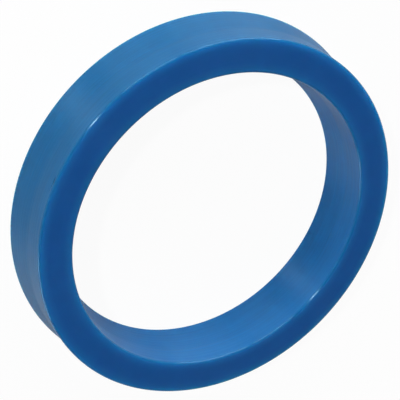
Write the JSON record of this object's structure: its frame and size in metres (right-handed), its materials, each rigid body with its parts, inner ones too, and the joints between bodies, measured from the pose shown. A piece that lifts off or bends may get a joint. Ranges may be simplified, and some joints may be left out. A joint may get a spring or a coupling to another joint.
{
  "type": "u cup seal",
  "caption": "Polyurethane U-cup seal ring: flat solid heel, spread outer and inner lips with an open U-groove between them, seals a sliding rod in its housing bore.",
  "frame": {"origin": "on the ring's axis, in the plane of the lip tips that it lies on", "axes": "+Z along the ring's axis, from the lip tips to the flat heel face; the ring is the same in every direction round +Z"},
  "size_m": [0.0816, 0.0816, 0.013],
  "materials": {
    "polyurethane": "satin blue polyurethane elastomer, about 94 Shore A, slightly translucent at its edges, with faint turning marks round its walls"
  },
  "bodies": {
    "root": {"u_cup_seal": "polyurethane"}
  },
  "joints": []
}
